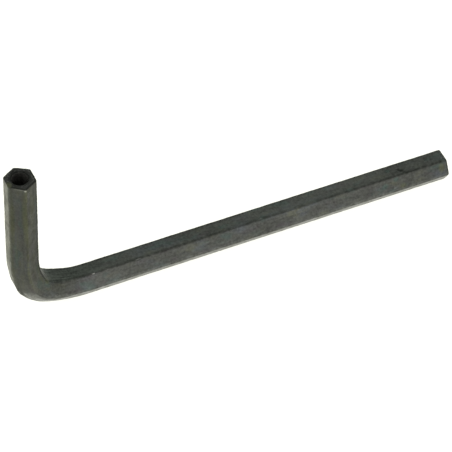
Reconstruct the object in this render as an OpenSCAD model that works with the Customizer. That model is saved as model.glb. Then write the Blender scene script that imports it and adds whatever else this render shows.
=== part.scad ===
// L-shaped hex key for pin-in-hex screws, made as the real one is: a length of hexagonal steel bar,
// cut off square, drilled in one end and bent to a right angle. It is one solid.
// It lies on a flat of its long arm, with the short arm upright. The origin is on the surface it
// lies on, below the middle of the whole key. +X runs along the long arm to its end, and +Z up the
// short arm.

/* [Bar] */
// Size across the flats of the hexagonal bar
across_flats = 5; // [4:0.5:8]
// Radius along the bar's six corners
corner_r = 0.45; // [0.05:0.05:0.8]

/* [Arms] */
// Long arm, from the short arm's outer flat to its end face
long_arm = 85; // [60:1:160]
// Short arm, from the long arm's underside to its end face
short_arm = 33; // [28:1:60]

/* [Bend] */
// Radius of the tight middle of the bend, at the bar's centre
bend_r = 6; // [5:0.5:12]
// Radius of the easier curves that lead in and out of it, at the bar's centre
ease_r = 20; // [14:1:28]
// Angle that the easier curve at the long arm turns through
long_ease = 22; // [5:1:35]
// Angle that the easier curve at the short arm turns through
short_ease = 15; // [5:1:35]

/* [Ends] */
// Bevel around both end faces
end_bevel = 0.2; // [0.05:0.05:0.5]

/* [Pin hole] */
// Diameter of the blind hole in the short arm's end
hole_d = 3; // [1.5:0.1:3.6]
// Depth of the hole's straight wall, from the end face
hole_depth = 6; // [3:0.5:10]
// Bevel around the hole's mouth
mouth_bevel = 0.2; // [0.05:0.05:0.3]
// Angle of the drill's point, left at the bottom of the hole
drill_point = 118; // [90:1:140]

/* [Hidden] */
$fn = 64;
eps = 0.01;

flat_count = 6;
flat_step = 360 / flat_count;
corner_steps = 5;
bend_angle = 90;
// Thousandths in a millimetre
per_mm = 1000;
// Direction from an arc's centre straight down to the bar
down = 270;

half_flats = across_flats / 2;
// Distance from the bar's axis to the centre of a corner's arc
corner_centre = (half_flats - corner_r) / cos(flat_step / 2);

// The centre of the bend's tight middle is the same distance from the centres of both easier curves
centre_gap = ease_r - bend_r;
// Distances from the crossing of the two arms' axes to the bend's end on each arm
long_run = ease_r + centre_gap * (sin(long_ease) - cos(short_ease));
short_run = ease_r + centre_gap * (sin(short_ease) - cos(long_ease));
straight_long = long_arm - half_flats - long_run;
straight_short = short_arm - half_flats - short_run;
drill_tip = hole_d / 2 / tan(drill_point / 2);

// Points of one rounded corner of the bar, about the direction a
function corner_points(a) = [
    for (i = [0:corner_steps])
        let (b = a + flat_step * (i / corner_steps - 0.5))
        corner_centre * [cos(a), sin(a)] + corner_r * [cos(b), sin(b)]
];

// Section of the bar, with two flats square to X and two corners on Y
module bar_section() {
    polygon([for (k = [0:flat_count - 1]) each corner_points(flat_step * (k + 0.5))]);
}

// Straight length of bar along +Z, with the edges of its far end bevelled
module straight_bar(length) {
    difference() {
        linear_extrude(length) bar_section();
        for (k = [0:flat_count - 1])
            rotate([0, 0, flat_step * k])
                translate([half_flats, 0, length])
                    end_bevel_cutter();
    }
}

// Wedge that takes the bevel off one edge of an end face
module end_bevel_cutter() {
    rotate([90, 0, 0])
        linear_extrude(across_flats, center = true)
            polygon([[-end_bevel - eps, eps], [eps, eps], [eps, -end_bevel - eps]]);
}

// Moves its children by v in three steps: whole millimetres, thousandths and the rest. Written with
// six digits each, the steps keep enough of v for neighbouring arcs to meet face to face
module move(v) {
    whole = [for (c = v) round(c)];
    thousandths = [for (c = v - whole) round(c * per_mm) / per_mm];
    translate(whole) translate(thousandths) translate(v - whole - thousandths) children();
}

// One arc of the bend about the point (x, z), from heading a to heading b: 0 is towards -X, 90 is up
module bend_arc(x, z, r, a, b) {
    move([x, 0, z])
        rotate([90, 0, 0])
            rotate_extrude(start = down - b, angle = b - a)
                translate([r, 0]) bar_section();
}

// The whole bend, measured from the crossing of the two arms' axes
module bend() {
    bend_arc(long_run, ease_r, ease_r, 0, long_ease);
    bend_arc(
        ease_r - centre_gap * cos(short_ease),
        ease_r - centre_gap * cos(long_ease),
        bend_r, long_ease, bend_angle - short_ease
    );
    bend_arc(ease_r, short_run, ease_r, bend_angle - short_ease, bend_angle);
}

// The drill's shape, pointing down from the end face at z = 0
module pin_hole() {
    rotate_extrude()
        polygon([
            [0, -hole_depth - drill_tip],
            [hole_d / 2, -hole_depth],
            [hole_d / 2, -mouth_bevel],
            [hole_d / 2 + mouth_bevel + eps, eps],
            [0, eps]
        ]);
}

module hex_key() {
    color("#3f4442")
    translate([half_flats - long_arm / 2, 0, half_flats])
        difference() {
            union() {
                bend();
                move([long_run, 0, 0]) rotate([0, 90, 0]) straight_bar(straight_long);
                move([0, 0, short_run]) straight_bar(straight_short);
            }
            translate([0, 0, short_arm - half_flats]) pin_hole();
        }
}

hex_key();
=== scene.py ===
from math import cos, pi, radians, sin, tan

import bpy
import numpy as np
from mathutils import Matrix, Vector


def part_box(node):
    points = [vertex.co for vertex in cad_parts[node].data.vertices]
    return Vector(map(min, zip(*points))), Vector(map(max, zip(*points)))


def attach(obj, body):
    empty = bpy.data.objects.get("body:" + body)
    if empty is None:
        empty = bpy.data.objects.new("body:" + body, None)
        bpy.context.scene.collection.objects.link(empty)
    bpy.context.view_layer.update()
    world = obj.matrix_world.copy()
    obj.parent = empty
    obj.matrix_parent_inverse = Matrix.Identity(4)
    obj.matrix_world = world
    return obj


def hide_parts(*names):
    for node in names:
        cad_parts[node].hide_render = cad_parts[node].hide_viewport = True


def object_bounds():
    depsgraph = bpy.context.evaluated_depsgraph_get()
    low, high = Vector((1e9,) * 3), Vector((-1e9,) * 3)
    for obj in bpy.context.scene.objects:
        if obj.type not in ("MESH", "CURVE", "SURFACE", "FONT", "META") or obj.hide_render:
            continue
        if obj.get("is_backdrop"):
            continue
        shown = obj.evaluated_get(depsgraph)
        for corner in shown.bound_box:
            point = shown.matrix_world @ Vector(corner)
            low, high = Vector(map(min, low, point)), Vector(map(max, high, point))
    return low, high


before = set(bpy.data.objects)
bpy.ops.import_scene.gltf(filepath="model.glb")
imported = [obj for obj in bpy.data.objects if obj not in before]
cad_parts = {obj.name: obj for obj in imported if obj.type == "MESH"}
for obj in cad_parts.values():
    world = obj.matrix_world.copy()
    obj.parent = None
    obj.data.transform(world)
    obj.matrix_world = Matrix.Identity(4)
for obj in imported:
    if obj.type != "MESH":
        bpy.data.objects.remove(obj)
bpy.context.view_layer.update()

# The key is one length of hexagonal bar. It was cut off, drilled in one end, bent cold to a right
# angle and blackened in a hot oxide bath, so its flats, corners, bend and hole are one surface.
mm = 0.001
across_flats = 5 * mm
corner_r = 0.45 * mm
bend_r = 6 * mm
ease_r = 20 * mm
long_ease = radians(22)
short_ease = radians(15)

key_low, key_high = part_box("hex_key")
long_arm = key_high.x - key_low.x
short_arm = key_high.z - key_low.z
half_flats = across_flats / 2
tight_turn = radians(90) - long_ease - short_ease
centre_gap = ease_r - bend_r
long_run = ease_r + centre_gap * (sin(long_ease) - cos(short_ease))
short_run = ease_r + centre_gap * (sin(short_ease) - cos(long_ease))

# Lengths that the bar's axis goes through from the long arm's end, each with the angle it turns
stretches = (
    (long_arm - half_flats - long_run, 0),
    (ease_r * long_ease, long_ease),
    (bend_r * tight_turn, tight_turn),
    (ease_r * short_ease, short_ease),
    (short_arm - half_flats - short_run, 0),
)
bar_length = sum(length for length, turn in stretches)
bend_start = stretches[0][0]
bend_end = bar_length - stretches[-1][0]


def axis_at(s):
    """The point x, z of the bar's axis at s from the long arm's end, and its heading: 0 is -X."""
    x, z, heading = key_high.x, key_low.z + half_flats, 0
    for length, turn in stretches:
        step = min(s, length)
        if turn == 0:
            x -= step * cos(heading)
            z += step * sin(heading)
        else:
            radius = length / turn
            ahead = heading + step / radius
            x -= radius * (sin(ahead) - sin(heading))
            z += radius * (cos(heading) - cos(ahead))
            heading = ahead
        s -= step
    return x, z, heading


# The mesh is first made on the straight bar. A point there is (s, n, w): s from the long arm's end,
# n from the axis towards the inside of the bend, and w from the axis towards the front.
half_corner = radians(30)
corners = [radians(30 + 60 * k) for k in range(6)]
corner_steps = 8
flat_steps = 15
ring_step = 0.22 * mm

# Cold bending squeezes the bar's inside, so that its inner flat grows wider, and presses its front
# and back corners towards the bend's outside. The outer front corner of the short arm is worn back.
inner_corners = [0, 5]
squeezed_out = np.array([(0, 0.38), (0, -0.38)]) * mm
front_and_back = [1, 4]
pressed_out = np.array([(-0.5, 0.12), (-0.5, -0.12)]) * mm
worn_corner = 2
worn_back = 0.35 * mm


def outline(half, radii, pressed=0, worn=0):
    """A ring of points round the bar, from its inside front corner, as n and w."""
    tips = np.array([(cos(a), sin(a)) for a in corners]) * half / cos(half_corner)
    tips[inner_corners] += pressed * squeezed_out
    tips[front_and_back] += pressed * pressed_out
    tips[worn_corner, 1] -= worn * worn_back
    arcs = []
    for k, r in enumerate(radii):
        sides = [tips[k - 1] - tips[k], tips[(k + 1) % 6] - tips[k]]
        to_before, to_after = [side / np.linalg.norm(side) for side in sides]
        half_turn = pi / 2 - np.arccos(to_before @ to_after) / 2
        inward = (to_before + to_after) / np.linalg.norm(to_before + to_after)
        facing = np.arctan2(-inward[1], -inward[0])
        angles = facing + np.linspace(-half_turn, half_turn, corner_steps + 1)
        centre = tips[k] + inward * r / cos(half_turn)
        arcs.append(centre + r * np.stack([np.cos(angles), np.sin(angles)], 1))
    points = []
    for arc, after in zip(arcs, arcs[1:] + arcs[:1]):
        share = np.linspace(0, 1, flat_steps + 1)[1:-1, None]
        points += [arc, arc[-1] + share * (after[0] - arc[-1])]
    return np.concatenate(points)


rng = np.random.default_rng(5)


def wander(at, longest, shortest):
    """A smooth random curve through places, as a sum of seven waves from longest to shortest."""
    total = np.zeros(len(at))
    for wave in np.geomspace(longest, shortest, 7):
        total += np.sin(2 * pi * at / (wave * rng.uniform(0.85, 1.15)) + rng.uniform(0, 2 * pi))
    return total / 2


rings = []
surfaces = []


def add_ring(surface, s, points):
    """Adds a ring of points across the bar at s, the far edge of a band of the named surface."""
    rings.append(np.column_stack([np.full(len(points), s), points]))
    surfaces.append(surface)


# Both ends are cut square and tumbled, which leaves a small rounded bevel with an uneven edge.
long_bevel = 0.35 * mm
short_bevel = 0.25 * mm
bevel_turns = [radians(turn) for turn in (0, 30, 60)]
worn_r = 0.9 * mm
long_radii = np.full(6, corner_r)
short_radii = np.full(6, corner_r)
short_radii[worn_corner] = worn_r


def bevel_ring(bevel, turn, radii, worn, uneven):
    """A ring on an end's bevel, from turn 0 at the end face to a right angle at the bar's side."""
    inset = bevel * (1 - sin(turn))
    return outline(half_flats - inset, radii - inset / 2, worn=worn) * uneven


tip = bevel_ring(short_bevel, 0, short_radii, 1, 1)
around = np.arctan2(tip[:, 1], tip[:, 0])
circle = np.stack([np.cos(around), np.sin(around)], 1)
edge_wander = 0.008
uneven_long, uneven_short = [
    (1 + edge_wander * wander(around / pi, 1, 0.1))[:, None] for end in ("long", "short")
]
for share in (0.06, 0.2, 0.35, 0.5, 0.65, 0.8, 0.92):
    add_ring("long end", 0, bevel_ring(long_bevel, 0, long_radii, 0, share))
add_ring("long end", 0, bevel_ring(long_bevel, 0, long_radii, 0, uneven_long))
for turn in bevel_turns[1:]:
    at_s = long_bevel * (1 - cos(turn))
    add_ring("bevel", at_s, bevel_ring(long_bevel, turn, long_radii, 0, uneven_long))

# The corner radius wanders along the bar, as a worn drawing die leaves it, and the pressed corners
# of the bend are round. Where the pressing and the wear come and go is given by the bar's heading.
pressed_r = 1.1 * mm
press_headings = (8, 20, 55, 78)
wear_headings = (73, 80, 84, 90)
corner_wander = 0.2
side_s = np.linspace(long_bevel, bar_length - short_bevel, round(bar_length / ring_step))
side_headings = [axis_at(at_s)[2] for at_s in side_s]
wanders = np.stack([wander(side_s, 20 * mm, 1 * mm) for corner in corners], 1)
for at_s, at_heading, uneven in zip(side_s, np.degrees(side_headings), wanders):
    pressed = np.interp(at_heading, press_headings, (0, 1, 1, 0))
    worn = np.interp(at_heading, wear_headings, (0, 1.4, 1.3, 1))
    radii = corner_r * np.clip(1 + corner_wander * uneven, 0.55, 1.5)
    radii[front_and_back] += pressed * (pressed_r - corner_r)
    radii[worn_corner] += worn * (worn_r - corner_r)
    add_ring("side", at_s, outline(half_flats, radii, pressed, worn))
for turn in reversed(bevel_turns):
    at_s = bar_length - short_bevel * (1 - cos(turn))
    add_ring("bevel", at_s, bevel_ring(short_bevel, turn, short_radii, 1, uneven_short))

# The hole for the screw's pin is drilled into the short arm's end, and keeps the drill's point.
hole_r = 1.5 * mm
hole_depth = 6 * mm
mouth_bevel = 0.2 * mm
mouth_wander = 0.012
drill_point = radians(118)
drill_tip = hole_r / tan(drill_point / 2)
hole_step = 0.3 * mm
mouth = circle * (hole_r + mouth_bevel) * (1 + mouth_wander * wander(around / pi, 1, 0.2))[:, None]
for share in (0.25, 0.5, 0.75, 1):
    add_ring("short end", bar_length, tip + share * (mouth - tip))
for turn in bevel_turns[1:]:
    lip = circle * (hole_r + mouth_bevel * (1 - sin(turn)))
    add_ring("mouth", bar_length - mouth_bevel * (1 - cos(turn)), lip)
for depth in np.arange(mouth_bevel, hole_depth, hole_step):
    add_ring("hole", bar_length - depth, circle * hole_r)
for share in (1, 0.75, 0.5, 0.25, 0.06):
    add_ring("hole", bar_length - hole_depth - drill_tip * (1 - share), circle * hole_r * share)

ring_points = len(tip)
straight = np.vstack(rings + [[0, 0, 0], [bar_length - hole_depth - drill_tip, 0, 0]])
surface_of = np.append(np.array(surfaces).repeat(ring_points), ["long end", "hole"])
s, n, w = straight.T

# The bend's outer flat is stretched. It's a little hollow, and then swells before the short arm. The
# hollow stays on that flat, and the swell fades out towards the bar's middle.
outer_hollow = 0.07 * mm
outer_swell = 0.14 * mm
pull = np.sin(pi * np.clip((s - bend_start) / (bend_end - bend_start), 0, 1)) ** 2
flat_share = np.clip(1 - (w / (half_flats * tan(half_corner))) ** 2, 0, 1)
swell_headings = np.radians((52, 64, 71, 80))
swell = np.interp(s, np.interp(swell_headings, side_headings, side_s), (0, 1, 1, 0))
n += outer_hollow * pull * flat_share * (n < -0.9 * half_flats)
n -= outer_swell * swell * np.clip(-n / half_flats - 0.4, 0, 0.5) / 0.5


def on_long(x, degrees):
    """A place on the long arm: x in the frame in mm, and degrees round it from top to front."""
    return key_high.x - x * mm, degrees


def on_short(z, degrees):
    """A place on the short arm: its height in mm, and degrees round it from its inside to front."""
    return bar_length - (key_high.z - z * mm), degrees


def in_bend(heading, degrees):
    """A place in the bend: the heading there in degrees, and degrees round from inside to front."""
    return np.interp(radians(heading), side_headings, side_s), degrees


# Marks of use, and two patches of painted shade: place, length along the bar, width round it and
# depth in mm, what shows there and how strongly. Those without depth are stains, streaks of old oil,
# broad faint patches where handling has thinned the skin or dirtied it, and two broad dark patches of
# painted shade on the bend's outer flat. After the key's own marks come the small knocks of a tool
# box, and the dents that the bending tool leaves below the front corner when it chatters.
marks = [
    (on_long(-27.4, 31.5), 0.45, 0.3, 0.05, "bare_steel", 0.9),
    (on_long(-24.7, 32.5), 0.5, 0.3, 0.03, "bare_steel", 0.2),
    (on_long(-18.9, 31), 1.2, 0.26, 0.04, "bare_steel", 0.22),
    (on_long(33.1, 3), 0.8, 0.7, 0.1, "soot", 1.0),
    (on_long(33.5, 11), 1.3, 1.0, 0.14, "soot", 1.0),
    (on_long(33.9, 22), 0.9, 0.5, 0.08, "soot", 0.7),
    (on_long(34.6, 28), 1.6, 0.4, 0.06, "soot", 0.6),
    (on_long(36.0, 28.5), 2.0, 0.35, 0.05, "soot", 0.5),
    (on_long(38.7, -7.5), 1.3, 0.9, 0.01, "soot", 0.3),
    (on_long(41.7, 14.5), 0.4, 0.35, 0.02, "bare_steel", 0.15),
    (on_long(31.5, 76.5), 0.4, 0.35, 0.02, "bare_steel", 0.15),
    (on_long(31.1, -6), 1.3, 1.1, 0, "teal_stain", 0.6),
    (on_long(31.9, 41.5), 1.4, 1.1, 0, "teal_stain", 0.6),
    (on_long(29.6, 58), 1.6, 1.4, 0, "teal_stain", 0.6),
    (on_long(33.1, 75.5), 1.8, 1.2, 0.01, "olive_stain", 0.6),
    (on_long(41.1, 54), 1.6, 2.2, 0.01, "olive_stain", 0.7),
    (on_long(40.5, 62), 9.0, 6.0, 0, "soot", 0.17),
    (on_long(-25, 52), 13.0, 4.0, 0, "bare_steel", 0.035),
    (on_long(17, 0), 42.0, 5.0, 0, "bare_steel", 0.02),
    (on_long(27, -6), 9.0, 5.0, 0, "bare_steel", 0.03),
    (in_bend(68, 110), 6.0, 4.6, 0, "bare_steel", 0.07),
    (in_bend(61, 134), 1.0, 0.5, 0.04, "bare_steel", 0.5),
    (in_bend(66, 140), 0.9, 0.5, 0.05, "soot", 0.7),
    (in_bend(70, 122), 0.6, 0.5, 0.03, "soot", 0.3),
    # Painted shade: two broad dark patches on the bend's outer flat stand for the shade beneath the
    # bend that it reflects.
    (in_bend(57, 190), 4.0, 4.5, 0, "soot", 0.34),
    (in_bend(69, 178), 4.4, 4.5, 0, "soot", 0.28),
    (in_bend(50, 35), 2.6, 0.8, 0.06, "soot", 0.6),
    (in_bend(50, 35), 3.0, 1.2, 0, "olive_stain", 0.8),
    (in_bend(36, 34), 2.4, 0.6, 0.03, "soot", 0.45),
    (in_bend(52, 15), 1.2, 0.6, 0.03, "soot", 0.4),
    (in_bend(49, 340), 4.0, 1.8, 0, "soot", 0.3),
    (on_short(20.9, 199), 1.0, 0.5, 0.06, "soot", 0.9),
    (on_short(24.8, 199), 0.8, 0.4, 0.05, "soot", 0.7),
    (on_short(18.6, 186), 1.6, 0.3, 0.02, "soot", 0.3),
    (on_short(28.4, 184), 2.0, 0.3, 0.02, "soot", 0.25),
    (on_short(27, 115), 11.0, 6.0, 0, "soot", 0.13),
    (on_short(33, 165), 0.7, 1.8, 0, "olive_stain", 0.9),
    (on_short(25, 145), 17.0, 1.2, 0, "olive_stain", 0.75),
    (on_short(26, 98), 15.0, 1.1, 0, "olive_stain", 0.7),
    (on_short(26, 62), 13.0, 1.5, 0, "olive_stain", 0.5),
    (on_short(32.6, 92), 0.35, 0.6, 0.05, "bare_steel", 0.8),
    (on_short(32.7, 112), 0.25, 2.6, 0, "bare_steel", 0.2),
]
corner_knocks, bend_knocks, chatter_dents = 46, 26, 24
knocks = [
    (rng.uniform(1 * mm, bar_length - 1 * mm), 30 + 60 * rng.integers(6) + rng.normal(0, 3))
    for k in range(corner_knocks)
]
knocks += [(rng.uniform(bend_start, bend_end), rng.uniform(60, 170)) for k in range(bend_knocks)]
dents = [in_bend(rng.uniform(30, 68), rng.uniform(115, 150)) for k in range(chatter_dents)]
for place, strongest in [(knock, 0.15) for knock in knocks] + [(dent, 0.35) for dent in dents]:
    shows = rng.choice(["bare_steel", "soot"])
    size = rng.uniform(0.3, 1.0), rng.uniform(0.2, 0.4), rng.uniform(0.01, 0.04)
    marks.append((place, *size, shows, rng.uniform(0.2, 1) * strongest))

outside = (surface_of != "hole") & (surface_of != "mouth")
corner_reach = (half_flats - corner_r) / cos(half_corner) + corner_r
shown = {name: np.zeros(len(s)) for name in ("bare_steel", "soot", "olive_stain", "teal_stain")}
for (at_s, degrees), length, width, depth, shows, strength in marks:
    angle = radians(degrees)
    from_flat = (angle + half_corner) % (2 * half_corner) - half_corner
    reach = min(half_flats / cos(from_flat), corner_reach)
    along = (s - at_s) / (length * mm / 2)
    across = np.hypot(n - reach * cos(angle), w - reach * sin(angle)) / (width * mm / 2)
    falloff = np.clip(1 - along ** 2 - across ** 2, 0, 1) * outside
    inward = depth * mm * np.sqrt(falloff) / half_flats
    n *= 1 - inward
    w *= 1 - inward
    shown[shows] = np.maximum(shown[shows], strength * falloff)

x, z, heading = np.array([axis_at(at_s) for at_s in s]).T
points = np.stack([x + n * np.sin(heading), -w, z + n * np.cos(heading)], 1)

# Each band of faces is laid flat for the texture bake: the sides in two rows, then ends and hole.
faces, flat_uv = [], []
row_length = bar_length / 2
row_width, row_height, uv_margin = 0.97, 0.39, 0.01
per_mm = 0.023
long_end_u, short_end_u, ends_v = 0.1, 0.27, 0.9
hole_u, hole_v, hole_height = 0.4, 0.82, 0.16


def side_uv(point, row, share):
    """Where a point of the bar's sides lies when flat, in a row and a share of the way round."""
    u = uv_margin + (s[point] - row * row_length) / row_length * row_width
    return [u, uv_margin + (row_height + uv_margin) * row + share * row_height]


def end_uv(point, middle_u):
    """Where a point of an end face lies when flat."""
    return [middle_u + n[point] / mm * per_mm, ends_v + w[point] / mm * per_mm]


def hole_uv(point, share):
    """Where a point of the hole's wall lies when flat, a share of the way round."""
    return [hole_u + (bar_length - s[point]) / mm * per_mm, hole_v + share * hole_height]


for i, band in enumerate(surfaces[1:]):
    start = i * ring_points
    row = int(s[start] >= row_length)
    end_u = long_end_u if band == "long end" else short_end_u
    for j in range(ring_points):
        k = (j + 1) % ring_points
        faces.append([start + j, start + k, start + ring_points + k, start + ring_points + j])
        for point, step in zip(faces[-1], (j, j + 1, j + 1, j)):
            if band in ("side", "bevel"):
                flat_uv += side_uv(point, row, step / ring_points)
            elif band in ("hole", "mouth"):
                flat_uv += hole_uv(point, step / ring_points)
            else:
                flat_uv += end_uv(point, end_u)
first_pole, last_pole = len(s) - 2, len(s) - 1
last_ring = (len(rings) - 1) * ring_points
for j in range(ring_points):
    k = (j + 1) % ring_points
    faces.append([first_pole, k, j])
    for point in faces[-1]:
        flat_uv += end_uv(point, long_end_u)
    faces.append([last_pole, last_ring + j, last_ring + k])
    for point, step in zip(faces[-1], (j + 0.5, j, j + 1)):
        flat_uv += hole_uv(point, step / ring_points)

sharp_edge = radians(34)
mesh = bpy.data.meshes.new("bent_bar")
mesh.from_pydata(points.tolist(), [], faces)
mesh.polygons.foreach_set("use_smooth", [True] * len(faces))
mesh.set_sharp_from_angle(angle=sharp_edge)
mesh.uv_layers.new(name="OFBake").data.foreach_set("uv", flat_uv)

# What the steel's look needs to know of each point: its place on the straight bar in mm, the marks,
# the lines of painted shade along the corners, what the bend has squeezed or stretched, what is
# rubbed, and whether it lies on a bevel, on a cut end or in the hole.
degrees_round = np.degrees(np.arctan2(w, n)) % 360
from_outer = np.abs(degrees_round - 180)
side = surface_of == "side"


def line_along(degrees, width):
    """How strongly a thin uneven line along the bar shows at each point, at degrees round it."""
    off = np.radians(np.abs((degrees_round - degrees + 180) % 360 - 180)) * corner_reach
    uneven = np.interp(s, side_s, np.clip(0.75 + 0.4 * wander(side_s, 14 * mm, 0.8 * mm), 0.3, 1))
    return np.clip(1 - off / (width / 2), 0, 1) * uneven * side


def by_heading(headings, levels):
    """A level at each point that follows the bar's heading there, from headings in degrees."""
    return np.interp(np.degrees(heading), headings, levels)


# Lines of painted shade follow both inner corners, which move outwards in the bend and on the short
# arm, and a thinner one lies beside the worn corner. Their places are in degrees round the bar.
inner_corner_at, bend_shift, arm_shift, worn_corner_at = 28, 7.5, 5, 151
inner_line = inner_corner_at + bend_shift * by_heading(press_headings, (0, 1, 1, 0))
inner_line += arm_shift * by_heading((80, 90), (0, 1))
shown["corner_shade_line"] = np.maximum(line_along(inner_line, 0.9 * mm), line_along(-inner_line, 0.9 * mm))
shown["corner_shade_line"] *= by_heading((15, 30, 60, 80), (1, 0.55, 0.55, 1))
shown["worn_edge_shade"] = line_along(worn_corner_at, 0.7 * mm) * by_heading((75, 88), (0, 0.4))

# The inner flat is darkened from shortly before the bend, and creased within it.
near_bend = np.interp(s, (bend_start - 8 * mm, bend_start + 2 * mm), (0, 1))
near_bend *= by_heading((64, 76), (1, 0))
shown["squeezed"] = near_bend * np.clip((n / half_flats - 0.95) / 0.04, 0, 1) * side
shown["lined"] = shown["squeezed"] * by_heading((4, 16), (0, 1))
shown["creased"] = shown["squeezed"] * by_heading((30, 46), (0, 1))
shown["short_arm"] = by_heading((50, 75), (0, 1)) * side
shown["olive_line"] = line_along(90, 0.8 * mm) * by_heading((70, 85), (0, 1))

# The outer flat is stretched in the bend. The facets beside it, and the front and back corners of
# the long arm, are rubbed pale by what the key has lain on.
shown["outer_flat"] = (from_outer < 28) * side
shown["stretched"] = by_heading((25, 40, 72, 83), (0, 1, 1, 0)) * (from_outer < 32) * side
beside_outer = np.interp(np.abs(from_outer - 60), (22, 26), (1, 0))
rubbed_corners = np.maximum(line_along(92, 1.1 * mm), line_along(-92, 1.1 * mm))
rubbed_corners *= by_heading((20, 40), (1, 0))
shown["rubbed"] = by_heading((5, 22, 55, 66), (0.6, 1, 1, 0)) * beside_outer * side
shown["rubbed"] = np.maximum(shown["rubbed"], 0.8 * rubbed_corners)

# The bevels are painted with shade, darker towards the front. The skin is dull on them, where it is
# stretched and along the lines of painted shade. Painted shade darkens the hole's mouth and spreads
# onto the end face.
shown["bevel"] = (surface_of == "bevel") * np.where(np.abs(degrees_round - 240) < 90, 0.5, 1)
shown["matte"] = np.maximum.reduce([
    shown["stretched"], 0.8 * shown["corner_shade_line"], 0.7 * shown["bevel"],
])
from_mouth = np.hypot(n, w) - hole_r - mouth_bevel
painted_mouth_shade = np.clip(0.6 - from_mouth / (0.8 * mm), 0, 1)
shown["mouth"] = np.where(surface_of == "short end", painted_mouth_shade, surface_of == "mouth")
shown["cut_end"] = np.isin(surface_of, ("long end", "short end"))
shown["hole"] = surface_of == "hole"
for name, values in shown.items():
    mesh.attributes.new(name, "FLOAT", "POINT").data.foreach_set("value", values.astype(np.float32))
bar_mm = np.stack([s, n, w], 1).astype(np.float32).ravel() / np.float32(mm)
mesh.attributes.new("bar_mm", "FLOAT_VECTOR", "POINT").data.foreach_set("vector", bar_mm)


def linear(hex_colour):
    """An sRGB hex colour as linear RGBA."""
    channels = [int(hex_colour[i:i + 2], 16) / 255 for i in (1, 3, 5)]
    return [c / 12.92 if c <= 0.04045 else ((c + 0.055) / 1.055) ** 2.4 for c in channels] + [1]


def add(tree, kind, output, inputs, **settings):
    """Adds a node with its settings, fed by values or other nodes' outputs, and gives one output."""
    made = tree.nodes.new(kind)
    for name, value in settings.items():
        setattr(made, name, value)
    for name, value in inputs.items():
        if isinstance(value, bpy.types.NodeSocket):
            tree.links.new(value, made.inputs[name])
        else:
            made.inputs[name].default_value = value
    return made.outputs[output] if output else made


# Black-oxide steel: cold-drawn bar under a skin of magnetite about a micrometre thick. The eye gets
# a dark satin metal, faintly olive, with teal, plum and olive clouds where the skin is thinner or
# holds oil, soft draw lines along the bar, and brighter steel where the skin is knocked off.
steel = bpy.data.materials.new("black_oxide_drawn_steel")
steel.use_nodes = True
skin = steel.node_tree
skin.nodes.clear()
bar_place = add(skin, "ShaderNodeAttribute", "Vector", {}, attribute_name="bar_mm")
masks = {name: add(skin, "ShaderNodeAttribute", "Fac", {}, attribute_name=name) for name in shown}

# Patterns by the size of their features in mm, along the bar, then inwards, then across. The grain
# of the oxide is about 0.02 mm, too fine to show, so it is drawn twenty times as coarse.
patterns = {}
for name, size, detail in (
    ("clouds", (7, 4, 4), 2),
    ("stains", (3.5, 1.6, 1.6), 3),
    ("blooms", (4, 2, 2), 2),
    ("mottle", (1.2, 0.9, 0.9), 3),
    ("grain", (0.45, 0.4, 0.4), 2),
    ("streaks", (11, 0.8, 0.8), 2),
    ("draw_lines", (14, 0.4, 0.4), 2),
    ("rub_marks", (0.5, 5, 5), 2),
    ("creases", (5, 0.22, 0.22), 2),
):
    shift = [rng.uniform(0, 100) for axis in size]
    at = add(skin, "ShaderNodeMapping", "Vector", {
        "Vector": bar_place, "Scale": [1 / extent for extent in size], "Location": shift,
    })
    patterns[name] = add(skin, "ShaderNodeTexNoise", "Fac", {
        "Vector": at, "Scale": 1, "Detail": detail, "Roughness": 0.6,
    })

# Colour: stains by pattern, then what each part of the bar has of its own, and painted shade on the
# corner lines, the bevels and the hole's mouth.
colour = linear("#454642")
for pattern, low, high, tint in (
    ("clouds", 0.5, 0.7, "#444749"),
    ("stains", 0.54, 0.7, "#46473f"),
    ("stains", 0.46, 0.3, "#464443"),
    ("blooms", 0.55, 0.68, "#414844"),
):
    stain = add(skin, "ShaderNodeMapRange", "Result", {
        "Value": patterns[pattern], "From Min": low, "From Max": high,
    })
    colour = add(skin, "ShaderNodeMix", "Result", {
        "Factor": stain, "A": colour, "B": linear(tint),
    }, data_type="RGBA")
streak = add(skin, "ShaderNodeMapRange", "Result", {
    "Value": patterns["streaks"], "From Min": 0.5, "From Max": 0.7, "To Max": 0.7,
})
masks["olive_streak"] = add(skin, "ShaderNodeMath", "Value", {
    0: streak, 1: masks["short_arm"],
}, operation="MULTIPLY")
speck = add(skin, "ShaderNodeMapRange", "Result", {
    "Value": patterns["grain"], "From Min": 0.5, "From Max": 0.65,
})
masks["speck"] = add(skin, "ShaderNodeMath", "Value", {
    0: speck, 1: masks["cut_end"],
}, operation="MULTIPLY")
for mask, tint in (
    ("olive_streak", "#444638"),
    ("rubbed", "#686966"),
    ("squeezed", "#40433e"),
    ("creased", "#2c302c"),
    ("stretched", "#5c5d57"),
    ("olive_line", "#515344"),
    # Painted shade along the inner corners and beside the worn corner.
    ("corner_shade_line", "#2e302c"),
    ("worn_edge_shade", "#32332a"),
    # Painted shade on the bevels.
    ("bevel", "#242522"),
    ("cut_end", "#343331"),
    ("speck", "#464544"),
    # Painted shade at the hole's mouth.
    ("mouth", "#191a18"),
    ("hole", "#54534f"),
    ("olive_stain", "#494b38"),
    ("teal_stain", "#3e4d47"),
):
    colour = add(skin, "ShaderNodeMix", "Result", {
        "Factor": masks[mask], "A": colour, "B": linear(tint),
    }, data_type="RGBA")
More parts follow.
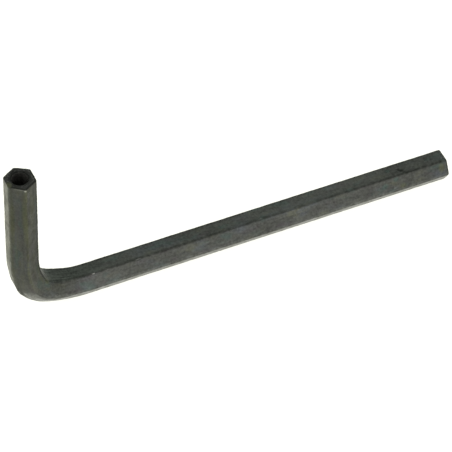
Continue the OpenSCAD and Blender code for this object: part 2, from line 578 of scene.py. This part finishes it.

# Tone: each pattern lightens or darkens the skin by its share on the long and on the short arm, and
# the creases by theirs on the squeezed flat. Soot, partly painted shade, and bare steel lie over all
# of it.
tone = 1
for name, long_share, short_share in (
    ("clouds", 0.75, 0.4),
    ("stains", 0.5, 0.3),
    ("mottle", 0.5, 0.35),
    ("grain", 1.2, 0.8),
    ("streaks", 0.35, 0.5),
    ("draw_lines", 0.35, 0.4),
    ("rub_marks", 0.2, 0),
):
    arm_share = add(skin, "ShaderNodeMapRange", "Result", {
        "Value": masks["short_arm"], "To Min": long_share, "To Max": short_share,
    })
    above = add(skin, "ShaderNodeMath", "Value", {0: patterns[name], 1: 0.5}, operation="SUBTRACT")
    tone = add(skin, "ShaderNodeMath", "Value", {
        0: above, 1: arm_share, 2: tone,
    }, operation="MULTIPLY_ADD")
crease_share = 2.4
crease = add(skin, "ShaderNodeMath", "Value", {0: patterns["creases"], 1: 0.5}, operation="SUBTRACT")
squeeze_share = add(skin, "ShaderNodeMath", "Value", {
    0: masks["lined"], 1: crease_share,
}, operation="MULTIPLY")
tone = add(skin, "ShaderNodeMath", "Value", {
    0: crease, 1: squeeze_share, 2: tone,
}, operation="MULTIPLY_ADD")
colour = add(skin, "ShaderNodeVectorMath", "Vector", {0: colour, 1: tone}, operation="MULTIPLY")
# Soot, with painted shade in two broad patches on the bend, then bare steel.
for mask, tint in (("soot", "#1a1c19"), ("bare_steel", "#b4b4ad")):
    colour = add(skin, "ShaderNodeMix", "Result", {
        "Factor": masks[mask], "A": colour, "B": linear(tint),
    }, data_type="RGBA")

# Finish: grain over shallow draw lines, satin, and rough in the drilled hole. Seen at a low angle it
# shines white, warmer on the outer flat and greyer in spots. The dull skin shines less like metal.
grain_relief = 0.004 * mm
line_relief = 0.003 * mm
drilled_roughness = 0.4
grain_height = add(skin, "ShaderNodeMath", "Value", {
    0: patterns["grain"], 1: grain_relief,
}, operation="MULTIPLY")
skin_height = add(skin, "ShaderNodeMath", "Value", {
    0: patterns["draw_lines"], 1: line_relief, 2: grain_height,
}, operation="MULTIPLY_ADD")
relief = add(skin, "ShaderNodeBump", "Normal", {"Height": skin_height, "Distance": 1, "Strength": 1})
satin = add(skin, "ShaderNodeMapRange", "Result", {
    "Value": patterns["mottle"], "From Min": 0.3, "From Max": 0.7, "To Min": 0.26, "To Max": 0.34,
})
roughness = add(skin, "ShaderNodeMath", "Value", {
    0: masks["hole"], 1: drilled_roughness, 2: satin,
}, operation="MULTIPLY_ADD")
grey_spots = add(skin, "ShaderNodeMapRange", "Result", {
    "Value": patterns["mottle"], "From Min": 0.4, "From Max": 0.65,
})
low_shine = linear("#ffffff")
for where, tint in ((masks["outer_flat"], "#fafaf2"), (grey_spots, "#dbdbd5")):
    low_shine = add(skin, "ShaderNodeMix", "Result", {
        "Factor": where, "A": low_shine, "B": linear(tint),
    }, data_type="RGBA")
metallic = add(skin, "ShaderNodeMath", "Value", {0: 1, 1: masks["matte"]}, operation="SUBTRACT")
blackened = add(skin, "ShaderNodeBsdfPrincipled", "BSDF", {
    "Base Color": colour, "Metallic": metallic, "Roughness": roughness, "Specular IOR Level": 0,
    "Specular Tint": low_shine, "Normal": relief,
})
add(skin, "ShaderNodeOutputMaterial", None, {"Surface": blackened})
mesh.materials.append(steel)

key = bpy.data.objects.new("bent_bar", mesh)
bpy.context.scene.collection.objects.link(key)
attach(key, "root")
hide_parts("hex_key")

# The floor is a sheet of opal acrylic lit from below, as on a product table. It glows white right
# up to the key, with hardly a shadow, and lights the key's underside.
floor_half = 1.5
floor_corners = [
    (side_x * floor_half, side_y * floor_half, key_low.z)
    for side_x, side_y in ((-1, -1), (1, -1), (1, 1), (-1, 1))
]
floor_mesh = bpy.data.meshes.new("floor")
floor_mesh.from_pydata(floor_corners, [], [range(4)])
opal = bpy.data.materials.new("opal_acrylic")
opal.use_nodes = True
sheet = opal.node_tree
sheet.nodes.clear()
glowing = add(sheet, "ShaderNodeBsdfPrincipled", "BSDF", {
    "Base Color": linear("#70706c"), "Roughness": 0.6,
    "Emission Color": linear("#fffff6"), "Emission Strength": 1.0,
})
add(sheet, "ShaderNodeOutputMaterial", None, {"Surface": glowing})
floor_mesh.materials.append(opal)
floor = bpy.data.objects.new("floor", floor_mesh)
bpy.context.scene.collection.objects.link(floor)
floor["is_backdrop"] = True

# Soft studio light: a white dome, brightest low in front and dim high in front, where the camera
# looks through a gap between two panels of cloth. Behind the key it is a little cooler.
front = (0, -1, 0)
gap_middle = Vector((0, -0.5, 0.86)).normalized()
dome = bpy.data.worlds.new("soft_dome")
bpy.context.scene.world = dome
dome.use_nodes = True
cloth = dome.node_tree
cloth.nodes.clear()
direction = add(cloth, "ShaderNodeTexCoord", "Generated", {})
to_front = add(cloth, "ShaderNodeVectorMath", "Value", {
    0: direction, 1: front,
}, operation="DOT_PRODUCT")
to_gap = add(cloth, "ShaderNodeVectorMath", "Value", {
    0: direction, 1: gap_middle,
}, operation="DOT_PRODUCT")
panels = add(cloth, "ShaderNodeMapRange", "Result", {
    "Value": to_front, "From Min": -0.5, "From Max": 0.95, "To Min": 0.98, "To Max": 1.68,
})
gap = add(cloth, "ShaderNodeMapRange", "Result", {
    "Value": to_gap, "From Min": 0.84, "From Max": 0.96, "To Min": 1, "To Max": 0.4,
})
brightness = add(cloth, "ShaderNodeMath", "Value", {0: panels, 1: gap}, operation="MULTIPLY")
in_front = add(cloth, "ShaderNodeMapRange", "Result", {
    "Value": to_front, "From Min": -0.5, "From Max": 0.5,
})
cloth_white = add(cloth, "ShaderNodeMix", "Result", {
    "Factor": in_front, "A": linear("#f8fffb"), "B": linear("#ffffff"),
}, data_type="RGBA")
light = add(cloth, "ShaderNodeBackground", "Background", {
    "Color": cloth_white, "Strength": brightness,
})
add(cloth, "ShaderNodeOutputWorld", None, {"Surface": light})
bpy.context.scene.view_settings.view_transform = "Standard"

# The camera stands in front and to the left, and looks down on the key through a long lens.
aim = Vector((0.59 * mm, 3.66 * mm, key_low.z))
camera_distance = 507.2 * mm
azimuth, elevation, roll = radians(-26.6), radians(47.66), radians(2.55)
back = Vector((sin(azimuth) * cos(elevation), -cos(azimuth) * cos(elevation), sin(elevation)))
right = Vector((cos(azimuth), sin(azimuth), 0))
rotation = Matrix((right, back.cross(right), back)).transposed() @ Matrix.Rotation(roll, 3, "Z")
lens = bpy.data.cameras.new("camera")
lens.sensor_width = 36
lens.lens = 224.1
camera = bpy.data.objects.new("camera", lens)
camera.matrix_world = Matrix.Translation(aim + back * camera_distance) @ rotation.to_4x4()
bpy.context.scene.collection.objects.link(camera)
bpy.context.scene.camera = camera

low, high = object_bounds()
